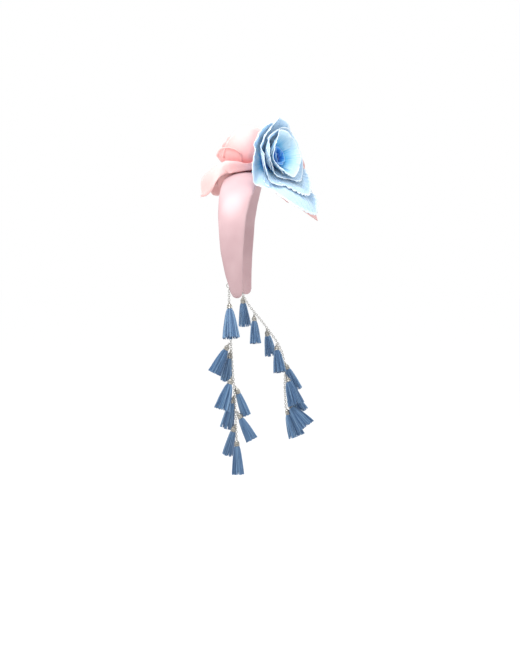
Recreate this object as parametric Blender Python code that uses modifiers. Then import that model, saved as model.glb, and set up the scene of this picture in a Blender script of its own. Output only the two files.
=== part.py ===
"""Flower headband: a padded satin band that carries three fabric flowers over the crown of the head,
with a chain of thread tassels hanging from a small sewn ring inside each of its tips.

Blender 4.5, metres, +Z up. The wearer faces -Y, so the wearer's left is +X and right is -X.
The origin is the seat: the middle of the band's inner face, where it rests on the crown.
Sizes below are in millimetres and become metres as each mesh is made.
"""

import math
from collections import namedtuple

import bmesh
import bpy
import numpy as np
from mathutils import Matrix, Vector

MM = 0.001
SEAT_GAP = 0.3  # what touches is kept this far apart

# The band: an arch that is an ellipse over the crown and two nearly straight legs below it.
ARCH_HALF_WIDTH = 77.0
ARCH_RISE = 84.0
BAND_DROP = 158.6
LEG_LEAN_IN = 8.0
BAND_SECTIONS_A_SIDE = 13
BAND_TIP_RADIUS = 7.0
BAND_TIP_FLAT = 0.6
BAND_EDGE = 1.3
BandRow = namedtuple("BandRow", "drop width setback thickness")
BAND = (
    BandRow(0, 50.0, 5.0, 9.4),
    BandRow(4.6, 47.5, 8.0, 9.2),
    BandRow(13.6, 45.5, 11.0, 8.6),
    BandRow(28.6, 42.0, 14.2, 7.6),
    BandRow(51.6, 36.8, 16.6, 6.4),
    BandRow(96.6, 29.5, 16.7, 5.0),
    BandRow(125.6, 22.8, 14.5, 4.4),
    BandRow(146.6, 16.6, 11.5, 4.0),
    BandRow(158.6, 14.2, 9.8, 3.6),
)

# The rounded form just above the crown of the head that the lowest petals lie on, and the band's own outer
# form, which holds them off where it passes under them. Neither is built.
HEAD_CENTRE = Vector((0, -6, -82.6))
HEAD_RADII = Vector((76.0, 91.0, 91.5))
PETAL_OFF_HEAD = 1.6
BAND_OUTSIDE_HALF_WIDTH = 85.0
BAND_OUTSIDE_RISE = ARCH_RISE + 9.4
PETAL_OFF_BAND = 1.4
BAND_ZONE_MIDDLE = 8.0
BAND_ZONE = 25.0
BAND_ZONE_FADE = 16.0

# The flowers: rings of petals around a ball on a short stem, each ring a thin shell inside the next one.
PETAL_THICKNESS = 1.0
LAYER_GAP = 2.8
BALL_RADIUS = 8.4
ROOT_RADIUS = BALL_RADIUS + SEAT_GAP + PETAL_THICKNESS / 2
STEM_RADIUS = 5.0
FOOT_RADIUS = 7.0
FOOT_TOP_RADIUS = 6.0
FOOT_HEIGHT = 5.0
FOOT_LIFT = SEAT_GAP + 0.3  # the flat foot clears the curve of the band's face
STEM_START = 4.4
PETAL_OFF_WALL = 1.2
STEPS_PER_PETAL = 7
STEPS_OUT = 3
WAVES_PER_PETAL = 2
NOTCH_DEPTH = 0.15
PETAL_ROUND_DEG = 7.0
BOWL_POWER = 1.25
DROOP_POWER = 3.5
WALL_SOFTNESS = 3.0

# Angles are from the flower's axis. A ring's first petal points to the flower's front, plus its turn.
Petal = namedtuple("Petal", "length rim_deg droop_deg")
PetalRing = namedtuple("PetalRing", "root_deg turn_deg ruffle petals")
Wall = namedtuple("Wall", "point normal")
Flower = namedtuple("Flower", "name material centre axis front foot_side foot_setback rings walls")

BLUE_MEETS_CROWN = Wall((-7, -12, 24.4), (-0.80, -0.59, -0.10))
BLUE_MEETS_BROW = Wall((9, -34, 17.4), (-1.0, 0.0, 0.0))
BROW_MEETS_CROWN = Wall((22, -9, 19.4), (0.30, -0.85, -0.43))


def turned_round(wall):
    """The same wall seen from its other side."""
    return Wall(wall.point, tuple(-share for share in wall.normal))


BLUE = Flower(
    name="blue_petals",
    material="blue_fabric",
    centre=(-20, -26, 23.4),
    axis=(-0.47, -0.85, 0.24),
    front=(0.20, -0.50, -0.80),
    foot_side=-14,
    foot_setback=-10,
    rings=(
        PetalRing(18, 0, 0.6, (Petal(16, 8, 0), Petal(17, 8, 0), Petal(16, 8, 0))),
        PetalRing(34, 60, 1.0, (Petal(23, 25, 0), Petal(24, 22, 0), Petal(23, 25, 0))),
        PetalRing(50, 350, 1.4, (Petal(44, 42, 0), Petal(46, 36, 0), Petal(46, 34, 0), Petal(38, 41, 0))),
        PetalRing(68, 30, 1.8, (Petal(54, 51, 4), Petal(50, 44, 0), Petal(44, 44, 0), Petal(39, 54, 0))),
        PetalRing(
            88,
            10,
            2.2,
            (Petal(73, 55, 3), Petal(52, 58, 0), Petal(59, 47, 0), Petal(38, 58, 0), Petal(47, 66, 0)),
        ),
        PetalRing(
            112,
            0,
            2.4,
            (Petal(96, 61, 4), Petal(50, 80, 0), Petal(50, 62, 0), Petal(37, 74, 0), Petal(55, 84, 2)),
        ),
    ),
    walls=(BLUE_MEETS_CROWN, BLUE_MEETS_BROW),
)
CROWN = Flower(
    name="crown_petals",
    material="pink_fabric",
    centre=(16, 8, 18.4),
    axis=(0.28, -0.02, 0.95),
    front=(-0.25, 0.95, 0.0),
    foot_side=13.5,
    foot_setback=9,
    rings=(
        PetalRing(18, 60, 0.8, (Petal(44, 6, 0), Petal(51, 8, 0), Petal(51, 8, 0))),
        PetalRing(40, 0, 1.2, (Petal(47, 22, 0), Petal(54, 16, 0), Petal(58, 22, 0))),
        PetalRing(68, 45, 1.4, (Petal(46, 30, 0), Petal(54, 20, 0), Petal(54, 36, 0), Petal(47, 42, 0))),
        PetalRing(98, 0, 1.5, (Petal(42, 64, 0), Petal(57, 32, 0), Petal(53, 48, 0), Petal(46, 62, 0))),
        PetalRing(
            117,
            15,
            1.6,
            (Petal(78, 72, 60), Petal(60, 70, 58), Petal(51, 74, 0), Petal(44, 84, 4), Petal(58, 84, 32)),
        ),
    ),
    walls=(turned_round(BLUE_MEETS_CROWN), turned_round(BROW_MEETS_CROWN)),
)
BROW = Flower(
    name="brow_petals",
    material="pink_fabric",
    centre=(31, -36, 12.4),
    axis=(0.45, -0.68, 0.58),
    front=(-0.35, -0.75, -0.6),
    foot_side=27,
    foot_setback=-8,
    rings=(
        PetalRing(26, 0, 0.8, (Petal(30, 14, 0), Petal(32, 14, 0), Petal(30, 14, 0))),
        PetalRing(50, 60, 1.2, (Petal(38, 34, 0), Petal(38, 34, 0), Petal(40, 34, 0))),
        PetalRing(78, 30, 1.4, (Petal(46, 56, 0), Petal(44, 56, 0), Petal(42, 56, 0), Petal(44, 56, 0))),
        PetalRing(96, 0, 1.6, (Petal(90, 80, 24), Petal(50, 80, 0), Petal(44, 78, 0), Petal(46, 80, 0))),
    ),
    walls=(turned_round(BLUE_MEETS_BROW), BROW_MEETS_CROWN),
)
FLOWERS = (BLUE, CROWN, BROW)

# The tassels: a turned metal cap with a slim eye, over a skirt of thread locks, hung from a fine chain.
CHAIN_RADIUS = 1.1
CHAIN_STEP = 7.0
RING_RADIUS = 3.0
RING_WIRE = 0.6
RING_DROP = 142.6
RING_SETBACK = 21.0
CAP_SIDES = 10
CAP_LENGTH = 11.0
CAP_EYE_RADIUS = 0.6
CAP_RADIUS = 3.2
CapPoint = namedtuple("CapPoint", "radius height")
CAP_PROFILE = (
    CapPoint(0.0, 0.0),
    CapPoint(CAP_EYE_RADIUS, -0.1),
    CapPoint(CAP_EYE_RADIUS, -2.8),
    CapPoint(2.3, -4.6),
    CapPoint(CAP_RADIUS, -7.2),
    CapPoint(CAP_RADIUS, -CAP_LENGTH),
    CapPoint(0.0, -CAP_LENGTH),
)
SKIRT_LOCKS = 7
SKIRT_NECK = 2.7
SKIRT_SHOULDER_SHARE = 0.30  # of the skirt's length, where it has most of its spread
SHOULDER_WIDTH_SHARE = 0.62
SHOULDER_DEPTH_SHARE = 0.72
FLUTE_DEPTH = 0.16
LOCK_TIP = 1.4
TASSEL_OFFSET = CHAIN_RADIUS + SEAT_GAP + CAP_EYE_RADIUS

# The points that each chain passes: the right one hangs straight, the left one lies forward over the chest.
RIGHT_CHAIN = (
    (-69.0, 21.0, -146.6),
    (-70.0, 21.0, -168.6),
    (-70.0, 19.5, -202.6),
    (-70.0, 17.4, -241.6),
    (-70.0, 13.8, -290.6),
    (-70.0, 11.5, -341.6),
)
LEFT_CHAIN = (
    (69.0, 21.0, -146.6),
    (66.5, 8.0, -172.0),
    (60.0, -18.0, -204.0),
    (54.0, -38.0, -232.0),
    (50.0, -46.0, -258.0),
    (46.0, -46.5, -290.0),
    (43.0, -48.0, -318.6),
)

# along is from the chain's top, forward and outward lean from straight down, the rest is the skirt's size.
Tassel = namedtuple("Tassel", "along forward_deg outward_deg length width depth")
RIGHT_TASSELS = (
    Tassel(16, 5, 22, 39, 22, 12),
    Tassel(70, -26, 8, 33, 18, 10),
    Tassel(80, -11, -21, 34, 15, 10),
    Tassel(114, -16, 18, 34, 21, 11),
    Tassel(127, 19, -8, 31, 13, 9),
    Tassel(139, -14, -20, 39, 18, 10),
    Tassel(160, 28, 4, 31, 16, 11),
    Tassel(177, -15, -17, 36, 14, 10),
    Tassel(200, 2, 2, 37, 16, 11),
)
LEFT_TASSELS = (
    Tassel(15, 2, 20, 36, 18, 12),
    Tassel(46, 4, -14, 32, 16, 10),
    Tassel(74, 8, 22, 32, 18, 10),
    Tassel(100, 8, -22, 32, 18, 10),
    Tassel(130, 20, 16, 34, 20, 10),
    Tassel(148, 20, -18, 34, 24, 10),
    Tassel(164, 27, 16, 34, 26, 10),
    Tassel(186, 38, -12, 34, 28, 10),
    Tassel(200, 20, 6, 34, 24, 11),
)

# colour, roughness, metallic
FINISHES = {
    "satin": ((0.90, 0.74, 0.77), 0.42, 0.0),
    "blue_fabric": ((0.55, 0.76, 0.93), 0.75, 0.0),
    "pink_fabric": ((0.93, 0.62, 0.62), 0.72, 0.0),
    "thread": ((0.20, 0.38, 0.66), 0.55, 0.0),
    "silver": ((0.78, 0.78, 0.76), 0.28, 1.0),
}


def clear_scene():
    for old in list(bpy.data.objects):
        bpy.data.objects.remove(old, do_unlink=True)


def material(name):
    found = bpy.data.materials.get(name)
    if found:
        return found
    colour, roughness, metallic = FINISHES[name]
    made = bpy.data.materials.new(name)
    made.use_nodes = True
    shader = made.node_tree.nodes["Principled BSDF"]
    shader.inputs["Base Color"].default_value = (*colour, 1.0)
    shader.inputs["Roughness"].default_value = roughness
    shader.inputs["Metallic"].default_value = metallic
    return made


def place(name, data, finish, collection="flower_headband"):
    """A new object of this mesh or curve, in the part's collection or in the helpers' one."""
    group = bpy.data.collections.get(collection)
    if group is None:
        group = bpy.data.collections.new(collection)
        bpy.context.scene.collection.children.link(group)
    made = bpy.data.objects.new(name, data)
    group.objects.link(made)
    data.materials.append(material(finish))
    return made


def mesh_from(name, bm, smooth_below_deg=40.0):
    """A finished mesh with its faces pointing out, shaded smooth up to that angle."""
    bmesh.ops.recalc_face_normals(bm, faces=bm.faces)
    mesh = bpy.data.meshes.new(name)
    bm.to_mesh(mesh)
    bm.free()
    mesh.shade_smooth()
    mesh.set_sharp_from_angle(angle=math.radians(smooth_below_deg))
    return mesh


def loft(name, rings, finish):
    """A closed solid through rings of points in millimetres, the same number in each, with flat ends."""
    bm = bmesh.new()
    rows = [[bm.verts.new(Vector(point) * MM) for point in ring] for ring in rings]
    for row, following in zip(rows, rows[1:]):
        for i in range(len(row)):
            j = (i + 1) % len(row)
            bm.faces.new((row[i], row[j], following[j], following[i]))
    bm.faces.new(rows[0])
    bm.faces.new(rows[-1])
    return place(name, mesh_from(name, bm), finish)


def at_drop(table, column, drop):
    """A table's column at a drop below the seat, by straight lines between its rows."""
    return float(np.interp(drop, [row.drop for row in table], [getattr(row, column) for row in table]))


def smooth_path(points, step):
    """Points about that step apart on a smooth curve through the given ones, in millimetres."""
    given = [np.array(p, float) for p in points]
    padded = [2 * given[0] - given[1], *given, 2 * given[-1] - given[-2]]
    dense = []
    for before, start, end, after in zip(padded, padded[1:], padded[2:], padded[3:]):
        for share in np.linspace(0, 1, 24, endpoint=False):
            bend = (2 * before - 5 * start + 4 * end - after) * share**2
            twist = (3 * start - before - 3 * end + after) * share**3
            dense.append(0.5 * (2 * start + (end - before) * share + bend + twist))
    dense = np.array([*dense, given[-1]])
    lengths = np.concatenate([[0], np.cumsum(np.linalg.norm(np.diff(dense, axis=0), axis=1))])
    count = max(2, round(lengths[-1] / step) + 1)
    wanted = np.linspace(0, lengths[-1], count)
    return np.stack([np.interp(wanted, lengths, dense[:, axis]) for axis in range(3)], axis=1)


# Band


def arch_half():
    """The middle line of the band's inner face from the seat down one leg: lengths, and points (x, drop)."""
    points = [
        (ARCH_HALF_WIDTH * math.sin(turn), ARCH_RISE * (1 - math.cos(turn)))
        for turn in np.linspace(0, math.pi / 2, 60)
    ]
    leg = BAND_DROP - ARCH_RISE
    points += [
        (ARCH_HALF_WIDTH - LEG_LEAN_IN * share**2, ARCH_RISE + leg * share)
        for share in np.linspace(0, 1, 30)[1:]
    ]
    points = np.array(points)
    steps = np.linalg.norm(np.diff(points, axis=0), axis=1)
    return np.concatenate([[0], np.cumsum(steps)]), points


ARCH_LENGTHS, ARCH_POINTS = arch_half()
BAND_HALF_LENGTH = float(ARCH_LENGTHS[-1])


def band_line(length, side):
    """Middle of the inner face at a length from the seat, on side +1 (wearer's left) or -1, and its drop."""
    x, drop = (float(np.interp(length, ARCH_LENGTHS, ARCH_POINTS[:, axis])) for axis in (0, 1))
    return Vector((side * x, at_drop(BAND, "setback", drop), -drop)), drop


def band_frame(length, side):
    """Point, outward direction, direction across the band, and drop, at a length from the seat."""
    here, drop = band_line(length, side)
    before, _ = band_line(max(length - 2, 0), side)
    after, _ = band_line(min(length + 2, BAND_HALF_LENGTH), side)
    along = (after - before).normalized()
    outward = Vector((-along.z, 0, along.x)).normalized()
    outward = outward if outward.dot(here - HEAD_CENTRE) > 0 else -outward
    across = outward.cross(along).normalized() * side
    return here, outward, across, drop


# Across the band from its front edge to its rear edge and back: share of the half width, share of the crown.
BAND_OUTER = ((-1.0, 0.0), (-0.90, 0.42), (-0.55, 0.84), (0.0, 1.0), (0.55, 0.84), (0.90, 0.42), (1.0, 0.0))
BAND_INNER = ((0.94, 0.0), (0.0, 0.0), (-0.94, 0.0))


def band_ring(length, side):
    here, outward, across, drop = band_frame(length, side)
    to_end = BAND_HALF_LENGTH - length
    half = at_drop(BAND, "width", drop) / 2
    crown = at_drop(BAND, "thickness", drop) - BAND_EDGE
    if to_end < BAND_TIP_RADIUS:
        half = min(half, math.sqrt(BAND_TIP_RADIUS**2 - (BAND_TIP_RADIUS - to_end) ** 2) + BAND_TIP_FLAT)
        crown *= math.sqrt((to_end + 1.0) / (BAND_TIP_RADIUS + 1.0))
    outer = [
        here + across * (half * share) + outward * (BAND_EDGE + crown * rise) for share, rise in BAND_OUTER
    ]
    inner = [here + across * (half * share) for share, _ in BAND_INNER]
    return outer + inner


def build_band():
    body = np.linspace(0, BAND_HALF_LENGTH - BAND_TIP_RADIUS, BAND_SECTIONS_A_SIDE)
    tip = BAND_HALF_LENGTH - BAND_TIP_RADIUS * np.array([0.55, 0.22, 0.05, 0.0])
    lengths = [*body, *tip]
    right = [band_ring(length, -1) for length in reversed(lengths)]
    left = [band_ring(length, 1) for length in lengths[1:]]
    loft("band", right + left, "satin")


# Flowers


def soft_floor(distance, least):
    """At least that distance, reached smoothly, so that nested shells stay nested where they are pressed."""
    excess = (distance - least) / WALL_SOFTNESS
    return least + WALL_SOFTNESS * (math.log1p(math.exp(-abs(excess))) + max(excess, 0))


def smooth_step(share):
    share = min(max(share, 0.0), 1.0)
    return share * share * (3 - 2 * share)


def off_the_head(point, level):
    """The point kept outside the head's form, higher for a ring that lies on others."""
    from_centre = point - HEAD_CENTRE
    scaled = Vector(a / b for a, b in zip(from_centre, HEAD_RADII)).length
    height = from_centre.length * (1 - 1 / scaled)
    lift = soft_floor(height, PETAL_OFF_HEAD + level * LAYER_GAP) - height
    return point + from_centre.normalized() * lift


def off_the_band(point, level):
    """The point kept above the band where the band passes under it, higher for a ring that lies on others."""
    near_band = smooth_step((BAND_ZONE + BAND_ZONE_FADE - abs(point.y - BAND_ZONE_MIDDLE)) / BAND_ZONE_FADE)
    from_centre = Vector((point.x, 0, point.z + ARCH_RISE))
    scaled = math.hypot(from_centre.x / BAND_OUTSIDE_HALF_WIDTH, from_centre.z / BAND_OUTSIDE_RISE)
    height = from_centre.length * (1 - 1 / scaled)
    lift = soft_floor(height, PETAL_OFF_BAND + level * LAYER_GAP) - height
    return point + from_centre.normalized() * (lift * near_band)


def off_the_wall(point, wall, level):
    """The point kept on its own flower's side of the wall where two flowers press together."""
    normal = Vector(wall.normal).normalized()
    distance = (point - Vector(wall.point)).dot(normal)
    return point + normal * (soft_floor(distance, PETAL_OFF_WALL + level * LAYER_GAP) - distance)


def petal_point(flower, ring, level, round_share, out_share):
    """A point on a ring of petals: round_share goes once round it, out_share from its root to its rim."""
    axis = Vector(flower.axis).normalized()
    front = Vector(flower.front)
    front = (front - axis * front.dot(axis)).normalized()
    side = axis.cross(front)
    angle = 2 * math.pi * round_share + math.radians(ring.turn_deg)
    count = len(ring.petals)
    petal_share = (round_share * count + 0.5) % 1.0
    across = 2 * petal_share - 1
    middle = int(round_share * count + 0.5)
    beside = middle + (1 if across > 0 else -1)
    blend = 0.5 * abs(across) ** 2
    petal = [a + (b - a) * blend for a, b in zip(ring.petals[middle % count], ring.petals[beside % count])]
    length, rim_deg, droop_deg = petal
    rim = length * (1 - NOTCH_DEPTH * abs(across) ** 3)
    out = ROOT_RADIUS + (rim - ROOT_RADIUS) * out_share
    share = (out - ROOT_RADIUS) / (length - ROOT_RADIUS)
    lean = ring.root_deg + (rim_deg - ring.root_deg) * share**BOWL_POWER
    lean += droop_deg * share**DROOP_POWER
    lean += PETAL_ROUND_DEG * (0.5 - across**2) * share
    wave = math.cos(2 * math.pi * WAVES_PER_PETAL * petal_share)
    lean = math.radians(lean) + ring.ruffle * wave * share**2 / out
    around = front * math.cos(angle) + side * math.sin(angle)
    point = Vector(flower.centre) + (axis * math.cos(lean) + around * math.sin(lean)) * out
    if out_share > 0:
        for wall in flower.walls:
            point = off_the_wall(point, wall, level)
        point = off_the_band(off_the_head(point, level), level)
    return point


def build_petal_ring(flower, number):
    ring = flower.rings[number]
    level = len(flower.rings) - 1 - number
    name = f"{flower.name}_{number + 1}"
    bm = bmesh.new()
    bmesh.ops.create_grid(bm, x_segments=len(ring.petals) * STEPS_PER_PETAL, y_segments=STEPS_OUT, size=0.5)
    for vert in bm.verts:
        vert.co = petal_point(flower, ring, level, vert.co.x + 0.5, vert.co.y + 0.5) * MM
    bmesh.ops.remove_doubles(bm, verts=bm.verts, dist=1e-6)
    shell = place(name, mesh_from(name, bm), flower.material)
    wall = shell.modifiers.new("cloth", "SOLIDIFY")
    wall.thickness = PETAL_THICKNESS * MM
    wall.offset = 0.0


def helper_cone(name, start, end, start_radius, end_radius, sides, finish):
    """A hidden cone or rod between two points in millimetres, to be joined to another piece."""
    start, end = Vector(start) * MM, Vector(end) * MM
    bm = bmesh.new()
    turn = (end - start).to_track_quat("Z", "Y").to_matrix().to_4x4()
    bmesh.ops.create_cone(
        bm,
        cap_ends=True,
        segments=sides,
        radius1=start_radius * MM,
        radius2=end_radius * MM,
        depth=(end - start).length,
        matrix=Matrix.Translation((start + end) / 2) @ turn,
    )
    made = place(name, mesh_from(name, bm), finish, "helpers")
    made.hide_render = True
    made.display_type = "WIRE"
    return made


def build_flower_core(flower):
    """The ball that the petals are glued to, its short stem, and the foot that is sewn to the band."""
    name = flower.name.replace("petals", "core")
    centre = Vector(flower.centre)
    side = 1 if flower.foot_side > 0 else -1
    seat, outward, _, drop = band_frame(abs(flower.foot_side), side)
    half = at_drop(BAND, "width", drop) / 2
    crown = at_drop(BAND, "thickness", drop) - BAND_EDGE
    setbacks = flower.foot_setback + FOOT_RADIUS * np.array([-0.5, 0, 0.5])
    front, middle, rear = BAND_EDGE + crown * np.interp((setbacks - seat.y) / half, *zip(*BAND_OUTER))
    upright = (outward + Vector((0, (front - rear) / FOOT_RADIUS, 0))).normalized()
    foot = seat + Vector((0, flower.foot_setback - seat.y, 0)) + outward * float(middle) + upright * FOOT_LIFT
    bm = bmesh.new()
    bmesh.ops.create_uvsphere(bm, u_segments=10, v_segments=6, radius=BALL_RADIUS * MM)
    bmesh.ops.translate(bm, verts=bm.verts, vec=centre * MM)
    ball = place(name, mesh_from(name, bm), flower.material)
    stem_start = foot + upright * STEM_START
    foot_top = foot + upright * FOOT_HEIGHT
    helpers = (
        helper_cone(f"{name}_stem", stem_start, centre, STEM_RADIUS, STEM_RADIUS, 8, flower.material),
        helper_cone(f"{name}_foot", foot, foot_top, FOOT_RADIUS, FOOT_TOP_RADIUS, 12, flower.material),
    )
    for helper in helpers:
        union = ball.modifiers.new(helper.name, "BOOLEAN")
        union.operation = "UNION"
        union.object = helper


def build_flower(flower):
    build_flower_core(flower)
    for number in range(len(flower.rings)):
        build_petal_ring(flower, number)


# Tassel chains


def build_ring(side_name, side):
    """The small wire ring sewn inside the band's tip, half of it showing behind the rear edge."""
    lengths = np.interp(RING_DROP, ARCH_POINTS[:, 1], ARCH_LENGTHS)
    seat, outward, _, _ = band_frame(float(lengths), side)
    centre = seat - outward * (RING_WIRE + SEAT_GAP)
    centre.y = RING_SETBACK
    bpy.ops.mesh.primitive_torus_add(
        major_segments=10,
        minor_segments=5,
        major_radius=RING_RADIUS * MM,
        minor_radius=RING_WIRE * MM,
        location=centre * MM,
        rotation=outward.to_track_quat("Z", "Y").to_euler(),
    )
    ring = bpy.context.object
    mesh = ring.data
    mesh.name = ring.name = f"{side_name}_hanging_ring"
    mesh.materials.append(material("silver"))
    for group in list(ring.users_collection):
        group.objects.unlink(ring)
    bpy.data.collections["flower_headband"].objects.link(ring)


def build_chain(side_name, points):
    curve = bpy.data.curves.new(f"{side_name}_chain", "CURVE")
    curve.dimensions = "3D"
    curve.bevel_depth = CHAIN_RADIUS * MM
    curve.bevel_resolution = 2
    curve.use_fill_caps = True
    route = smooth_path(points, CHAIN_STEP)
    spline = curve.splines.new("POLY")
    spline.points.add(len(route) - 1)
    for point, place_mm in zip(spline.points, route):
        point.co = (*(Vector(place_mm) * MM), 1.0)
    place(f"{side_name}_chain", curve, "silver")


def chain_point(points, along):
    """A point of the chain and the way it runs there; past its end, a point just below the end."""
    route = smooth_path(points, 1.0)
    index = min(round(along), len(route) - 1)
    onward = Vector(route[index] - route[index - 3]).normalized()
    return Vector(route[index]), onward, along > len(route)


def tassel_matrix(points, tassel, side):
    """Where a tassel hangs: its eye at the origin, local -Z down it and local X across its wide side."""
    forward = math.tan(math.radians(tassel.forward_deg))
    outward = math.tan(math.radians(tassel.outward_deg)) * side
    down = Vector((outward, -forward, -1)).normalized()
    on_chain, onward, past_end = chain_point(points, tassel.along)
    sideways = (down - onward * down.dot(onward)).normalized()
    eye = on_chain + (down * SEAT_GAP if past_end else sideways * TASSEL_OFFSET)
    deep = Vector((1, 0, 0))
    deep = (deep - down * deep.dot(down)).normalized()
    wide = deep.cross(-down)
    turn = Matrix((wide, deep, -down)).transposed().to_4x4()
    return Matrix.Translation(eye * MM) @ turn


def skirt_ring(drop, half_width, half_depth, tip=0.0):
    """A section of the skirt, fluted into locks whose tips hang lower than the flutes beside them."""
    points = []
    for i in range(2 * SKIRT_LOCKS):
        angle = math.pi * i / SKIRT_LOCKS
        is_lock = i % 2 == 0
        reach = 1.0 if is_lock else 1.0 - FLUTE_DEPTH
        height = -drop if is_lock else tip - drop
        points.append((half_width * reach * math.cos(angle), half_depth * reach * math.sin(angle), height))
    return points


def build_tassel(name, points, tassel, side):
    matrix = tassel_matrix(points, tassel, side)
    cap_mesh = bpy.data.meshes.new(f"{name}_cap")
    verts = [(point.radius * MM, 0, point.height * MM) for point in CAP_PROFILE]
    cap_mesh.from_pydata(verts, [(i, i + 1) for i in range(len(verts) - 1)], [])
    cap = place(f"{name}_cap", cap_mesh, "silver")
    cap.matrix_world = matrix
    screw = cap.modifiers.new("turn", "SCREW")
    screw.steps = screw.render_steps = CAP_SIDES
    screw.use_merge_vertices = True
    screw.merge_threshold = 0.00001
    top = CAP_LENGTH + SEAT_GAP
    shoulder = top + SKIRT_SHOULDER_SHARE * tassel.length
    wide, deep = tassel.width / 2, tassel.depth / 2
    skirt = loft(
        f"{name}_skirt",
        [
            skirt_ring(top, SKIRT_NECK, SKIRT_NECK),
            skirt_ring(shoulder, SHOULDER_WIDTH_SHARE * wide, SHOULDER_DEPTH_SHARE * deep),
            skirt_ring(top + tassel.length, wide, deep, LOCK_TIP),
        ],
        "thread",
    )
    skirt.matrix_world = matrix


def build_tassel_chain(side_name, side, points, tassels):
    build_ring(side_name, side)
    build_chain(side_name, points)
    for number, tassel in enumerate(tassels, 1):
        build_tassel(f"{side_name}_tassel_{number}", points, tassel, side)


clear_scene()
build_band()
for one in FLOWERS:
    build_flower(one)
build_tassel_chain("right", -1, RIGHT_CHAIN, RIGHT_TASSELS)
build_tassel_chain("left", 1, LEFT_CHAIN, LEFT_TASSELS)
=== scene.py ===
"""Flower headband, dressed: satin band, cloth petals, silver chains and thread tassels."""

import math
import random
from collections import namedtuple

import bmesh
import bpy
import numpy as np
from mathutils import Matrix, Vector, noise


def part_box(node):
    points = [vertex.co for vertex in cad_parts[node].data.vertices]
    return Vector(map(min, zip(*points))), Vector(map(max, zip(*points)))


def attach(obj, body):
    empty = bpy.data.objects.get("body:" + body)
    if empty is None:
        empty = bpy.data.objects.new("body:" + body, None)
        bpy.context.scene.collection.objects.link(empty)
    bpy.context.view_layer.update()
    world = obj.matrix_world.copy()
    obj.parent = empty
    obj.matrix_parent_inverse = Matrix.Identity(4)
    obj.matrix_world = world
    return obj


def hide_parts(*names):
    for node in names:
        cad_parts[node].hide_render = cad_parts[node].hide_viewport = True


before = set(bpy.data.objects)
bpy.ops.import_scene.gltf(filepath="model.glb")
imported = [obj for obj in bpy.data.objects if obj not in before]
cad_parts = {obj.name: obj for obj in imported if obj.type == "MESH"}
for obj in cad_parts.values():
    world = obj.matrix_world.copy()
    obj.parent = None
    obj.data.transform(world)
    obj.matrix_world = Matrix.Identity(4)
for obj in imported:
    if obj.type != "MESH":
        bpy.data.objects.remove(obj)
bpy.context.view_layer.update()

# Camera: a little above the middle of the whole, looking at its right side. The view is nearly square on, so
# the band's near leg stands upright in the middle of the picture.
VIEW_AZIMUTH = math.radians(-86)
VIEW_ELEVATION = math.radians(4)
VIEW_DISTANCE = 1.25
VIEW_CENTRE = Vector((-0.0128, -0.0152, -0.1975))
LENS_MM = 50.9
SENSOR_HEIGHT_MM = 36.0

towards_camera = Vector((
    math.sin(VIEW_AZIMUTH) * math.cos(VIEW_ELEVATION),
    -math.cos(VIEW_AZIMUTH) * math.cos(VIEW_ELEVATION),
    math.sin(VIEW_ELEVATION),
))
lens = bpy.data.cameras.new("side_view")
lens.sensor_fit = "VERTICAL"
lens.sensor_height = SENSOR_HEIGHT_MM
lens.lens = LENS_MM
camera = bpy.data.objects.new("side_view", lens)
camera.location = VIEW_CENTRE + towards_camera * VIEW_DISTANCE
camera.rotation_euler = towards_camera.to_track_quat("Z", "Y").to_euler()
bpy.context.scene.collection.objects.link(camera)
bpy.context.scene.camera = camera

# Studio: a plain white floor below the hanging tassels, a white surround, a broad soft light from above
# and a weaker one beside the camera, so that the top of the band and the flowers are nearly white.
FLOOR_HEIGHT = -0.486
FLOOR_RADIUS = 9.0


def new_finish(name):
    """A new material and its shader."""
    made = bpy.data.materials.new(name)
    made.use_nodes = True
    return made, made.node_tree.nodes["Principled BSDF"]


def feed(node, sockets):
    """Each named socket of a node given a value, or linked to another node's output."""
    for name, value in sockets.items():
        if isinstance(value, bpy.types.NodeSocket):
            node.id_data.links.new(value, node.inputs[name])
        else:
            node.inputs[name].default_value = value


floor_material, floor_shader = new_finish("floor_white")
feed(floor_shader, {"Base Color": (1.0, 1.0, 1.0, 1.0), "Specular IOR Level": 0.0, "Roughness": 0.9})
floor_bm = bmesh.new()
bmesh.ops.create_circle(floor_bm, cap_ends=True, segments=96, radius=FLOOR_RADIUS)
bmesh.ops.translate(floor_bm, verts=floor_bm.verts, vec=(0, 0, FLOOR_HEIGHT))
floor_mesh = bpy.data.meshes.new("floor")
floor_bm.to_mesh(floor_mesh)
floor_bm.free()
floor_mesh.materials.append(floor_material)
floor = bpy.data.objects.new("floor", floor_mesh)
bpy.context.scene.collection.objects.link(floor)

world = bpy.data.worlds.new("white_surround")
world.use_nodes = True
feed(world.node_tree.nodes["Background"], {"Color": (1.0, 1.0, 1.0, 1.0), "Strength": 1.0})
bpy.context.scene.world = world
bpy.context.scene.view_settings.view_transform = "Standard"

StudioLight = namedtuple("StudioLight", "name place aim size watts")
for light in (
    StudioLight("overhead_soft", (-0.27, 0.08, 0.28), (0, 0, -0.02), 0.3, 1.9),
    StudioLight("front_soft", (-0.26, -0.42, 0.16), (-0.02, -0.02, 0.03), 0.3, 0.4),
):
    lamp = bpy.data.lights.new(light.name, "AREA")
    lamp.energy = light.watts
    lamp.shape = "DISK"
    lamp.size = light.size
    holder = bpy.data.objects.new(light.name, lamp)
    holder.location = light.place
    holder.rotation_euler = (Vector(light.place) - Vector(light.aim)).to_track_quat("Z", "Y").to_euler()
    bpy.context.scene.collection.objects.link(holder)

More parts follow.
